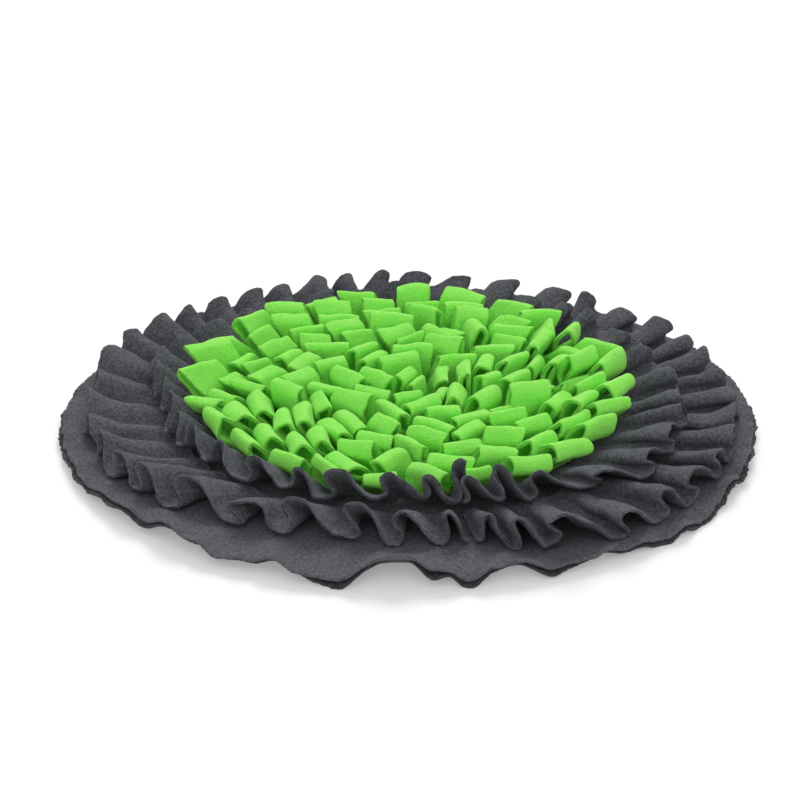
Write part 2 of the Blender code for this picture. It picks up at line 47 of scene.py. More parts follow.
# Base discs
#
# Two discs cut by hand from grey fleece, the upper one a little smaller. They are sewn together under the
# ruffles, so their rims are loose: they lift off the floor in waves, and the lower one peeps out below. The
# lower disc is the same grey fleece, painted darker all over as painted shade from the upper disc above it.

GREY_THICKNESS = 2.2 * MM
PIECE_GAP = 0.3 * MM
RIM_RADIUS = 253 * MM
RIM_PULL_IN = 0.8  # how far a lifted stretch of the rim is drawn inwards, as a share of its lift
RIM_RISE_POWER = 1.25  # how late the lift comes between the flat middle and the rim
FLAT_RADIUS = 206 * MM  # inside this the base lies flat
BASE_SEGMENTS = 1260
TOP_DISC_UNDERSIDE = GREY_THICKNESS + PIECE_GAP
SEAM_BOTTOM = TOP_DISC_UNDERSIDE + GREY_THICKNESS + PIECE_GAP
MIDDLE_RADIUS = 120 * MM  # inside this a disc's cloth is closed by one flat face on each side
# Where the points of a disc lie between its rim and its middle, in mm.
DISTANCES_FROM_RIM = (0, 0.3, 0.8, 1.5, 3, 5, 7.5, 10, 13, 16, 20, 25, 30, 36, 42, 50, 60, 90)
ROLL_ROUND = 1.3 * MM  # how far in from a cut edge the cloth has its full thickness
THINNEST = 0.35  # the cloth at its very edge, as a share of its full thickness
SCALLOP_LENGTH = 17 * MM  # the small uneven waves of the rim, on top of the large ones
SCALLOP_HEIGHT = 5.5 * MM
SCALLOP_REACH = 16 * MM  # how far in from the rim they die out
SCALLOP_SEED = 3.7
RIM_WANDER_LENGTH = 14 * MM
RIM_WANDER = 2.2 * MM  # how unevenly the rim was cut
RIM_FRAY_LENGTH = 2.2 * MM
RIM_FRAY = 1.2 * MM

# How the lower disc's rim lies to the upper one. Columns: azimuth in degrees; how far it stands out, or in
# where that is negative, and how far it hangs down, in mm.
RIM_OFFSETS = (
    (0, 2.4, 0.8),
    (60, 2.0, 0.5),
    (120, 2.0, 0.5),
    (180, 2.6, 0.6),
    (203, 2.4, 1.4),
    (212, 1.8, 0.5),
    (225, 1.8, 1.5),
    (238, -4.0, 0.0),
    (253, -6.0, 0.0),
    (260, -0.8, 3.6),
    (266, -6.0, 0.0),
    (270, -6.0, 0.0),
    (273.5, -0.8, 4.6),
    (276, -3.0, 1.5),
    (279, -0.8, 4.0),
    (284, -6.0, 0.0),
    (291, -1.0, 2.8),
    (298, -5.0, 0.0),
    (306, -0.8, 1.6),
    (322, 1.6, 0.8),
)

# The rim's waves, from one dip or rise to the next. Columns: azimuth in degrees, lift in mm.
RIM_WAVES = (
    (11, 4.0),
    (25, 6.5),
    (38, 3.0),
    (53, 5.5),
    (66, 2.0),
    (80, 4.5),
    (93, 1.5),
    (108, 4.5),
    (122, 2.0),
    (137, 5.5),
    (151, 3.0),
    (166, 6.0),
    (180, 3.5),
    (194, 5.0),
    (202, 7.0),
    (209, 5.5),
    (218, 8.0),
    (231, 11.0),
    (243, 5.0),
    (250, 9.0),
    (254.5, 3.8),
    (260.5, 3.0),
    (266, 14.0),
    (270.5, 14.5),
    (273.5, 9.5),
    (275.5, 8.8),
    (278.5, 5.0),
    (285, 11.0),
    (291, 4.0),
    (298, 7.5),
    (306, 4.2),
    (317, 2.0),
    (332, 6.0),
    (351, 7.5),
)


def eased(share):
    """A share from 0 to 1, made to start and end gently."""
    return share * share * (3 - 2 * share)


def read_round(table, azimuth, column):
    """The value in a column of a table at an azimuth in degrees, eased from row to row all the way round."""
    azimuth %= 360
    after = next((i for i, row in enumerate(table) if row[0] > azimuth), 0)
    start, end = table[after - 1], table[after]
    share = ((azimuth - start[0]) % 360) / ((end[0] - start[0]) % 360)
    return start[column] + (end[column] - start[column]) * eased(share)


def on_circle(radius, azimuth, height):
    """The point at a radius, an azimuth in degrees and a height."""
    angle = math.radians(azimuth)
    return np.array((radius * math.cos(angle), radius * math.sin(angle), height))


def rim_lift(azimuth):
    """How far the rim is lifted off the floor at an azimuth."""
    return read_round(RIM_WAVES, azimuth, 1) * MM


def rim_radius(azimuth):
    """The rim's radius at an azimuth, less where it is lifted."""
    return RIM_RADIUS - RIM_PULL_IN * rim_lift(azimuth)


def base_lift(radius, azimuth):
    """How far the base is lifted off the floor at a place."""
    share = (radius - FLAT_RADIUS) / (rim_radius(azimuth) - FLAT_RADIUS)
    return rim_lift(azimuth) * max(share, 0.0) ** RIM_RISE_POWER


def crumple(point, size, seed):
    """Soft noise from about -0.5 to 0.5 at a point, with swells of about the given size."""
    return noise.noise((point[0] / size + seed, point[1] / size - seed, point[2] / size))


def roll_off(distance):
    """The share of the cloth's thickness at a distance from a cut edge, which is rounded by wear."""
    share = min(distance / ROLL_ROUND, 1.0)
    return THINNEST + (1 - THINNEST) * math.sqrt(1 - (1 - share) ** 2)


def sheet_faces(rows, columns, first, closed):
    """The quads of a grid of points, stored row by row from the first, and round again if it is closed."""
    ahead = np.roll(np.arange(rows), -1) if closed else np.arange(1, rows)
    here = np.arange(len(ahead))
    j = np.arange(columns - 1)
    a = first + here[:, None] * columns + j
    d = first + ahead[:, None] * columns + j
    return np.stack([a, a + 1, d + 1, d], axis=2).reshape(-1, 4)


def sheet_border(rows, columns, closed):
    """The points round a grid's border, in runs. A closed grid has two, an inner and an outer one."""
    if closed:
        inner = [i * columns for i in range(rows)]
        return [inner + inner[:1]], [[i + columns - 1 for i in inner + inner[:1]]]
    border = [i * columns for i in range(rows)]
    border += [(rows - 1) * columns + j for j in range(1, columns)]
    border += [i * columns + columns - 1 for i in reversed(range(rows - 1))]
    border += list(reversed(range(columns - 1)))
    return [border], []


def make_piece(name, points, faces, cut, finish, slot, node):
    """A piece of cloth in place of a node's solid. Its cut edges have a cut of 1, and its flat faces 0."""
    mesh = bpy.data.meshes.new(name)
    mesh.from_pydata(points.tolist(), [], [list(face) for face in faces])
    mesh.shade_smooth()
    mesh.materials.append(finish)
    mesh.attributes.new("cut_edge", "FLOAT", "POINT").data.foreach_set("value", cut)
    piece = bpy.data.objects.new(name, mesh)
    bpy.context.scene.collection.objects.link(piece)
    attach(piece, "root")
    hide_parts(node)
    return piece


def edge_share(thickness):
    """How near the points of both faces of a cloth are to its rounded cut edge, from 0 to 1."""
    share = (1 - thickness / thickness.max()) / (1 - THINNEST)
    return np.tile(share.ravel(), 2)


def cloth(grid, thickness, closed=False):
    """Points, faces and cut edges of a sheet, with the given thickness at each of its grid's points.

    A closed grid runs all the way round, and its last row meets its first.
    """
    along = np.gradient(grid, axis=0)
    if closed:
        along = np.roll(grid, -1, axis=0) - np.roll(grid, 1, axis=0)
    normals = np.cross(np.gradient(grid, axis=1), along)
    normals /= np.linalg.norm(normals, axis=2)[:, :, None]
    rows, columns = grid.shape[:2]
    half = normals * thickness[:, :, None] / 2
    layer = rows * columns
    upper = sheet_faces(rows, columns, 0, closed)
    lower = sheet_faces(rows, columns, layer, closed)[:, ::-1]
    faces = [*upper.tolist(), *lower.tolist()]
    forward, backward = sheet_border(rows, columns, closed)
    for run in forward:
        faces += [(b, a, layer + a, layer + b) for a, b in zip(run, run[1:])]
    for run in backward:
        faces += [(a, b, layer + b, layer + a) for a, b in zip(run, run[1:])]
    points = np.concatenate([(grid + half).reshape(-1, 3), (grid - half).reshape(-1, 3)])
    return points, faces, edge_share(thickness)


class Field:
    """An output of a material's nodes. Arithmetic on it adds Math nodes."""

    def __init__(self, tree, socket):
        self.tree = tree
        self.socket = socket

    def node(self, kind, settings, inputs, output=0):
        """A new node: first its settings, then the values or links of its sockets."""
        made = self.tree.nodes.new("ShaderNode" + kind)
        for name, value in settings.items():
            setattr(made, name, value)
        for name, value in inputs.items():
            if isinstance(value, Field):
                self.tree.links.new(value.socket, made.inputs[name])
            else:
                made.inputs[name].default_value = value
        return Field(self.tree, made.outputs[output])

    def joined(self, operation, first, second):
        """The outcome of an operation on two fields or values."""
        return self.node("Math", {"operation": operation}, {0: first, 1: second})

    def __add__(self, other):
        return self.joined("ADD", self, other)

    def __radd__(self, other):
        return self.joined("ADD", other, self)

    def __sub__(self, other):
        return self.joined("SUBTRACT", self, other)

    def __rsub__(self, other):
        return self.joined("SUBTRACT", other, self)

    def __mul__(self, other):
        return self.joined("MULTIPLY", self, other)

    def __rmul__(self, other):
        return self.joined("MULTIPLY", other, self)

    def mixed(self, first, second):
        """From the first colour to the second as this field goes from 0 to 1."""
        return self.node("Mix", {"data_type": "RGBA"}, {0: self, 6: first, 7: second}, output=2)


def fleece(name, shade, light, mottle, grain, contrast, nap, nap_size, edge, sheen, soft):
    """Polar fleece: short matt pile, brushed into small flocks that catch the light unevenly.

    Its colour goes from shade to light, and its cut edges are lighter by edge: partly the lighter fuzz of a
    cut edge, partly a painted highlight where the rounded edge would catch the light. The nap is how high the
    pile stands, and soft how far light soaks into it. The flocks, fibres and nap have the given scales.
    """
    finish = bpy.data.materials.new(name)
    finish.use_nodes = True
    tree = finish.node_tree
    shader = tree.nodes["Principled BSDF"]
    shader.inputs["Roughness"].default_value = 0.92
    shader.inputs["Sheen Weight"].default_value = sheen
    shader.inputs["Sheen Roughness"].default_value = 0.45
    shader.inputs["Sheen Tint"].default_value = (*(channel / max(light) for channel in light), 1)
    shader.inputs["Specular IOR Level"].default_value = 0.2
    shader.inputs["Subsurface Weight"].default_value = soft
    shader.inputs["Subsurface Radius"].default_value = light
    shader.inputs["Subsurface Scale"].default_value = 5 * MM
    place = Field(tree, tree.nodes.new("ShaderNodeTexCoord").outputs["Object"])
    flocks = place.node("TexNoise", {}, {"Vector": place, "Scale": mottle, "Detail": 4, "Roughness": 0.6})
    fibres = place.node("TexNoise", {}, {"Vector": place, "Scale": grain, "Detail": 3, "Roughness": 0.65})
    pebbles = place.node("TexNoise", {}, {"Vector": place, "Scale": nap_size, "Detail": 2, "Roughness": 0.5})
    cut = place.node("Attribute", {"attribute_name": "cut_edge"}, {}, output=2)
    # Each noise is about 0.5 on average, which leaves the mottling at about 0.
    mottling = flocks * 1.3 + fibres * 1.2 - 1.25
    # Cut edges are lightened by edge: partly their lighter fuzz, partly a painted highlight.
    tone = mottling * contrast + cut * edge + 0.45
    colour = tone.mixed((*shade, 1), (*light, 1))
    tree.links.new(colour.socket, shader.inputs["Base Color"])
    pile = pebbles * 0.6 + fibres * 0.5
    bump = place.node("Bump", {}, {"Strength": 1.0, "Distance": nap, "Height": pile})
    tree.links.new(bump.socket, shader.inputs["Normal"])
    return finish


GREY_PILE = {
    "mottle": 420,
    "grain": 1100,
    "contrast": 2.4,
    "nap": 1.3 * MM,
    "nap_size": 600,
    # cut edges lightened: partly lighter fuzz, partly a painted highlight
    "edge": 0.5,
    "sheen": 0.08,
    "soft": 0,
}
grey_fleece = fleece("grey_fleece", (0.055, 0.057, 0.063), (0.128, 0.132, 0.149), **GREY_PILE)
# The same grey fleece painted darker: painted shade for the lower disc, which lies under the upper one.
shade_painted_fleece = fleece("shade_painted_fleece", (0.026, 0.026, 0.028), (0.075, 0.076, 0.081), **GREY_PILE)


def scallops(azimuth):
    """The height of the rim's small waves at an azimuth."""
    return SCALLOP_HEIGHT * crumple(on_circle(RIM_RADIUS, azimuth, 0), SCALLOP_LENGTH, SCALLOP_SEED)


def disc_piece(name, node, underside, side, finish, seed):
    """A disc of cloth, its rim rounded and a little frayed. Its side is 1 for the upper disc, else -1."""
    azimuths = 360 * np.arange(BASE_SEGMENTS) / BASE_SEGMENTS
    grid = np.empty((BASE_SEGMENTS, len(DISTANCES_FROM_RIM) + 1, 3))
    thickness = np.empty(grid.shape[:2])
    for i, azimuth in enumerate(azimuths):
        rim = rim_radius(azimuth) - max(side * read_round(RIM_OFFSETS, azimuth, 1), 0) * MM
        rim += RIM_WANDER * crumple(on_circle(rim, azimuth, 0), RIM_WANDER_LENGTH, seed)
        rim += RIM_FRAY * crumple(on_circle(rim, azimuth, seed), RIM_FRAY_LENGTH, seed)
        hang = max(-side * read_round(RIM_OFFSETS, azimuth, 2), 0) * MM
        radii = [rim - distance * MM for distance in DISTANCES_FROM_RIM] + [MIDDLE_RADIUS]
        for j, radius in enumerate(radii):
            loose = max(0, 1 - (rim - radius) / SCALLOP_REACH) ** 2
            lift = max(base_lift(radius, azimuth) + loose * (scallops(azimuth) - hang), 0)
            grid[i, j] = on_circle(radius, azimuth, underside + GREY_THICKNESS / 2 + lift)
            thickness[i, j] = GREY_THICKNESS * roll_off(rim - radius)
    points, faces, cut = cloth(grid[:, ::-1], thickness[:, ::-1], closed=True)
    columns = grid.shape[1]
    layer = BASE_SEGMENTS * columns
    inner = [i * columns for i in range(BASE_SEGMENTS)]
    # The cut edge at the middle gives way to two faces that close the disc.
    faces = [face for face in faces if any(corner % columns for corner in face)]
    faces += [inner[::-1], [layer + corner for corner in inner]]
    return make_piece(name, points, faces, cut, finish, "base_fleece", node)


# The lower disc takes the darker copy of the fleece, which is painted shade.
bottom_fleece = disc_piece("bottom_fleece", "base_bottom", 0, -1, shade_painted_fleece, 3)
top_fleece = disc_piece("top_fleece", "base_top", TOP_DISC_UNDERSIDE, 1, grey_fleece, 8)
for piece, rests_on in ((bottom_fleece, "floor"), (top_fleece, "bottom_fleece")):
    across = 2 * RIM_RADIUS

# Ruffles
#
# Two long strips of the same grey fleece, gathered along one edge and sewn down in a circle. The free edge
# stands in deep uneven folds that roll over to one side. Each strip's ends meet at the front right, where the
# inner one's far end laps behind its start.

SEAM_AZIMUTH = 281  # where the two ends of each strip meet, in degrees
SEAM_OPENING = 0.7  # from the seam to either end, in degrees
FOLD_STEPS = 28
COARSE_FOLD_STEPS = 8
ROWS_ACROSS = (
    *(0, 0.08, 0.17, 0.26, 0.35, 0.44, 0.53, 0.62, 0.7, 0.78),
    *(0.85, 0.91, 0.955, 0.975, 0.987, 0.995, 1),
)
COARSE_ROWS_ACROSS = (0.0, 0.5, 1.0)
ROOT_FOLD_SHARE = 0.14  # height of the folds at the stitches, as a share of that at the free edge
FOLD_UNEVENNESS = 0.28
FOLD_CREST = (0.82, 1.08)  # height of a crest, as a share of the table's
FOLD_LEAN = (0.16, 0.36)  # how far a crest leans back over its fold, as a share of the fold's width
FAR_SWELL = 0.3  # how far a fold's other flank bulges, as a share of the steep flank's swell
END_FOLD_WIDTH = 0.62  # the folds next to the seam, against the others
END_FOLD_CREST = 1.15
TAB_CREST = 1.5
LAP_WIDTH = 8.0  # the fold that ends as a tab, in degrees
LAP_LEAN_AND_SWELL = (0.25, 0.12)
LAP_DEPTH = 4 * MM  # how far inside the strip's start its far end lies
LAP_PHASE = 0.15  # the phase of its fold by which it has moved in
LAP_END = 0.64  # the phase at which it is cut off
FRONT_AZIMUTH = 268
FRONT_REACH = 42  # degrees
FRONT_RISE = 5 * MM  # how much higher the inner ruffle stands at the front
# The cloth's uneven swells. Columns: their size and how far they reach, in mm.
RUFFLE_CRUMPLES = (
    (30, 5.0),
    (11, 1.6),
)
CRUMPLE_SEEDS = (0.3, 7.1, 13.7)  # for X, Y and Z
EDGE_FRAY_LENGTH = 2.5 * MM
EDGE_FRAY = 0.004  # as a share of the free edge's radius

OUTER_STITCH_RADIUS = 166 * MM
OUTER_FOLDS = 42
OUTER_SEED = 11
OUTER_SWELL = (0.13, 0.21)  # how far a fold's steep flank curls under its crest, as a share of its width
# Columns: azimuth in degrees; free edge's radius, its mean rise and half its folds' height, in mm.
OUTER_SHAPE = (
    (0, 232, 8.5, 9),
    (30, 232, 10, 9.5),
    (60, 222, 15, 9.5),
    (90, 209, 21, 9.5),
    (120, 222, 15, 9.5),
    (155, 237, 10, 9.5),
    (195, 228, 8.5, 9.5),
    (217, 224, 9, 10.5),
    (238, 207, 10.5, 11),
    (268, 197, 11, 11),
    (280, 203, 10.5, 11),
    (292, 229, 9, 10.5),
    (306, 238, 8.5, 10),
    (325, 234, 8.5, 9.5),
)

INNER_STITCH_RADIUS = 142 * MM
INNER_FOLDS = 36
INNER_SEED = 5
INNER_SWELL = (0.1, 0.16)
# The same columns as for the outer ruffle.
INNER_SHAPE = (
    (0, 193, 18, 8),
    (45, 184, 22, 8),
    (90, 176, 26, 8),
    (135, 182, 24, 8),
    (165, 196, 19, 8),
    (190, 174, 18, 8.5),
    (225, 170, 18, 8.5),
    (270, 164, 16, 8.5),
    (302, 180, 18, 8),
    (320, 201, 19.5, 7.5),
    (340, 197, 19, 7.5),
)


def fold_widths(folds, rng):
    """Uneven widths for a ruffle's folds, the ones next to the seam narrow, as shares of the whole."""
    widths = [1 + rng.uniform(-FOLD_UNEVENNESS, FOLD_UNEVENNESS) for _ in range(folds)]
    for end in (0, 1, -1):
        widths[end] *= END_FOLD_WIDTH
    return np.array(widths) / sum(widths)


def ruffle_grid(shape, stitch_radius, folds, swells, seed, has_tab, fold_steps, rows_across):
    """Points on the middle of a gathered strip, a row of them across it at each step along its folds.

    With a tab, the strip ends on the crest of its last fold.
    """
    rng = random.Random(seed)
    widths = (360 - 2 * SEAM_OPENING) * fold_widths(folds, rng)
    starts = SEAM_AZIMUTH + SEAM_OPENING + np.cumsum(widths) - widths
    grid = []
    for fold, (start, width) in enumerate(zip(starts, widths)):
        last = fold == folds - 1
        crest = rng.uniform(*FOLD_CREST) * (END_FOLD_CREST if fold in (0, 1) else 1)
        lean = rng.uniform(*FOLD_LEAN)
        # A narrow fold has no room to curl as far as a wide one.
        swell = rng.uniform(*swells) * min(width * folds / 360, 1)
        steps = fold_steps + last
        if last and has_tab:
            crest = TAB_CREST
            steps = fold_steps // 2 + 1
        for phase in np.arange(steps) / fold_steps:
            grid.append(fold_line(shape, stitch_radius, start, width, phase, crest, lean, swell, rows_across))
    return np.array(grid)


def fold_line(shape, stitch_radius, start, width, phase, crest, lean, swell, rows_across):
    """The points across a ruffle, from its stitches to its free edge, at a phase of one fold."""
    edge_radius, edge_rise, half_fold = (
        read_round(shape, start + width * phase, column) * MM for column in (1, 2, 3)
    )
    slope = math.atan2(edge_rise, edge_radius - stitch_radius)
    rise = (1 - math.cos(math.tau * phase)) / 2
    curl = FAR_SWELL + (1 - FAR_SWELL) * (1 + math.sin(math.tau * phase)) / 2
    bulge = swell * curl * math.sin(2 * math.tau * phase)
    root = SEAM_BOTTOM + GREY_THICKNESS / 2 + half_fold * ROOT_FOLD_SHARE
    line = []
    for across in rows_across:
        share = ROOT_FOLD_SHARE + (1 - ROOT_FOLD_SHARE) * across
        out = half_fold * share * (2 * rise * crest - 1)
        azimuth = start + width * (phase + across * (bulge - lean * rise))
        radius = stitch_radius + (edge_radius - stitch_radius) * across - out * math.sin(slope)
        height = root + edge_rise * across + out * math.cos(slope)
        line.append(on_circle(radius, azimuth, height + base_lift(radius, azimuth)))
    return line


def lowest_cloth(radius, azimuth):
    """The height of the middle of cloth that lies on the base."""
    return SEAM_BOTTOM + base_lift(radius, azimuth) + GREY_THICKNESS / 2


def lapped_end(shape, stitch_radius):
    """The far end of a strip, which laps behind its start and stands up as a tab."""
    rows = []
    for phase in np.arange(1, round(LAP_END * FOLD_STEPS)) / FOLD_STEPS:
        start = SEAM_AZIMUTH - SEAM_OPENING
        line = fold_line(
            shape, stitch_radius, start, LAP_WIDTH, phase, TAB_CREST, *LAP_LEAN_AND_SWELL, ROWS_ACROSS
        )
        closer = 1 - LAP_DEPTH * min(phase / LAP_PHASE, 1) / stitch_radius
        rows.append([point * (closer, closer, 1) for point in line])
    return np.array(rows)


def front_rise(azimuth):
    """How much higher a ruffle stands at the front, where the loops push it up, as a share."""
    off = (azimuth - FRONT_AZIMUTH + 180) % 360 - 180
    return eased(max(0, 1 - abs(off) / FRONT_REACH))


def ruffle_piece(name, node, shape, stitch_radius, folds, swells, seed, has_tab):
    """A ruffle, creased by the gathering. Where its cloth would sink into the base, it lies on it."""
    grid = ruffle_grid(shape, stitch_radius, folds, swells, seed, False, FOLD_STEPS, ROWS_ACROSS)
    if has_tab:
        grid = np.concatenate([grid, lapped_end(shape, stitch_radius)])
    thickness = np.empty(grid.shape[:2])
    for i, row in enumerate(grid):
        to_edge = 0
        for j in reversed(range(len(ROWS_ACROSS))):
            point = row[j]
            loose = ROWS_ACROSS[j]
            place = point.copy()
            for size, reach in RUFFLE_CRUMPLES:
                point += [reach * MM * loose * crumple(place, size * MM, seed + k) for k in CRUMPLE_SEEDS]
            if j == len(ROWS_ACROSS) - 1:
                point[:2] *= 1 + EDGE_FRAY * crumple(point, EDGE_FRAY_LENGTH, seed)
            azimuth = math.degrees(math.atan2(point[1], point[0]))
            if has_tab:
                point[2] += FRONT_RISE * loose * front_rise(azimuth)
            point[2] = max(point[2], lowest_cloth(math.hypot(point[0], point[1]), azimuth))
            if j < len(ROWS_ACROSS) - 1:
                to_edge += np.linalg.norm(row[j + 1] - point)
            thickness[i, j] = GREY_THICKNESS * roll_off(to_edge)
    return make_piece(name, *cloth(grid, thickness), grey_fleece, "ruffle_fleece", node)


def strip_size(grid):
    """A ruffle's strip laid flat: its mean width, its length along the stitches and along the free edge."""
    across = np.linalg.norm(np.diff(grid, axis=1), axis=2).sum(axis=1).mean()
    stitched, free = (np.linalg.norm(np.diff(grid[:, j], axis=0), axis=1).sum() for j in (0, -1))
    return across, stitched, free


outer_shape = (OUTER_SHAPE, OUTER_STITCH_RADIUS, OUTER_FOLDS, OUTER_SWELL, OUTER_SEED, False)
inner_shape = (INNER_SHAPE, INNER_STITCH_RADIUS, INNER_FOLDS, INNER_SWELL, INNER_SEED, True)
for name, node, shape in (
    ("outer_ruffle_fleece", "outer_ruffle", outer_shape),
    ("inner_ruffle_fleece", "inner_ruffle", inner_shape),
):
    piece = ruffle_piece(name, node, *shape)
    across, stitched, free = strip_size(ruffle_grid(*shape, FOLD_STEPS, COARSE_ROWS_ACROSS))

# Loops
#
# Short strips of lime green fleece, each folded over and caught by both ends in a row of stitches. Nine rows
# run round the middle, close enough that the loops crowd and lean on each other.

GREEN_THICKNESS = 2.5 * MM
LOOP_RINGS = 9
FIRST_RING_RADIUS = 9 * MM
RING_PITCH = 15.8 * MM
FIELD_RADIUS = FIRST_RING_RADIUS + (LOOP_RINGS - 1) * RING_PITCH
LOOP_PITCH = 31 * MM
TAPE_HEIGHT = 2.0 * MM
SEAM_TOP = SEAM_BOTTOM + TAPE_HEIGHT
LOOP_WIDTH = (25 * MM, 33 * MM)
LOOP_BELLY = (10.5 * MM, 15 * MM)
LOOP_HEIGHT_SPREAD = (0.92, 1.08)
LOOP_WAY_SPREAD = 34  # degrees either way
LOOP_LEAN_SPREAD = 0.2  # radians
LOOP_CURL_SPREAD = 0.08  # how much higher one leg of a loop bends over than the other
LOOP_SKEW_SPREAD = 0.1  # how much higher one edge of a loop stands than the other
MOST_TURN = 62  # degrees that a loop's top may be turned from its row
FOOT_SHARE = 0.6  # width of a loop at its stitches, where it is pinched, as a share of that at its top
BEND_SHARE = 0.6  # the share of a loop's height in which it turns and leans
BELLY_HEIGHT = 0.74  # where a loop is widest, and how wide its top is
TOP_WIDTH = 0.6
FUSED_SHARE = 0.1  # height up to which the two legs are one
MOST_SINE = 0.95
LOOP_SEED = 5
CRUMPLE_SEED = 9
LOOP_TRIES = 110
SHRINK_PER_TRY = 0.005
# How far a smaller loop may be turned and leant away, in degrees and radians, per share that it is smaller.
TRY_TURN = 70
TRY_LEAN = 1.0
SMALL_WIDTH = 12 * MM
SMALL_HEIGHT = 20 * MM
SMALL_BELLY = 8 * MM
LOOP_ROOM = 0.45 * MM
NEIGHBOUR_REACH = 80 * MM
# How loops lean before they push each other: outwards at the sides, back at the back, and all a little
# forwards, in degrees.
SIDE_LEAN = 38
BACK_LEAN = 16
FORWARD_LEAN = 8
# The loops' heights, in mm: in the middle, and how much taller they stand at the back and at the sides.
MIDDLE_HEIGHT = 32
BACK_RISE = 10
SIDE_RISE = 5

# Which way the loops' tops point at the edge of the field. Columns: azimuth in degrees, degrees from +X.
LOOP_WAYS = (
    (0, 45),
    (30, 5),
    (60, -20),
    (90, 0),
    (115, 20),
    (145, 42),
    (180, 10),
    (205, -40),
    (235, -60),
    (270, -35),
    (300, 0),
    (325, 10),
)
# How far out the loops' tops may reach. Columns: azimuth in degrees, radius in mm.
LOOP_REACH = (
    (0, 163),
    (45, 160),
    (90, 154),
    (135, 161),
    (180, 166),
    (225, 160),
    (270, 153),
    (315, 160),
)

# How the loops push each other aside until they find room. Columns: a level on a loop as a share of its
# height, how thick the loop is there as a share of its belly.
PUSH_LEVELS = (
    (0.25, 0.5),
    (0.55, 0.8),
    (1.0, 1.0),
)
SETTLE_STEPS = 240
PUSH_SHARE = 0.4
PUSH_LEVEL = 0.35  # how much they push up and down, against sideways
SETTLE_ROOM = 0.8 * MM
MOST_LEAN = math.radians(40)
LEAN_GAIN = 1.55  # a top's lean, against that of the straight line from foot to top
LEVELLING = 0.8  # the share of a top's slope that it keeps at each step
NEAR_ZERO = 1e-6


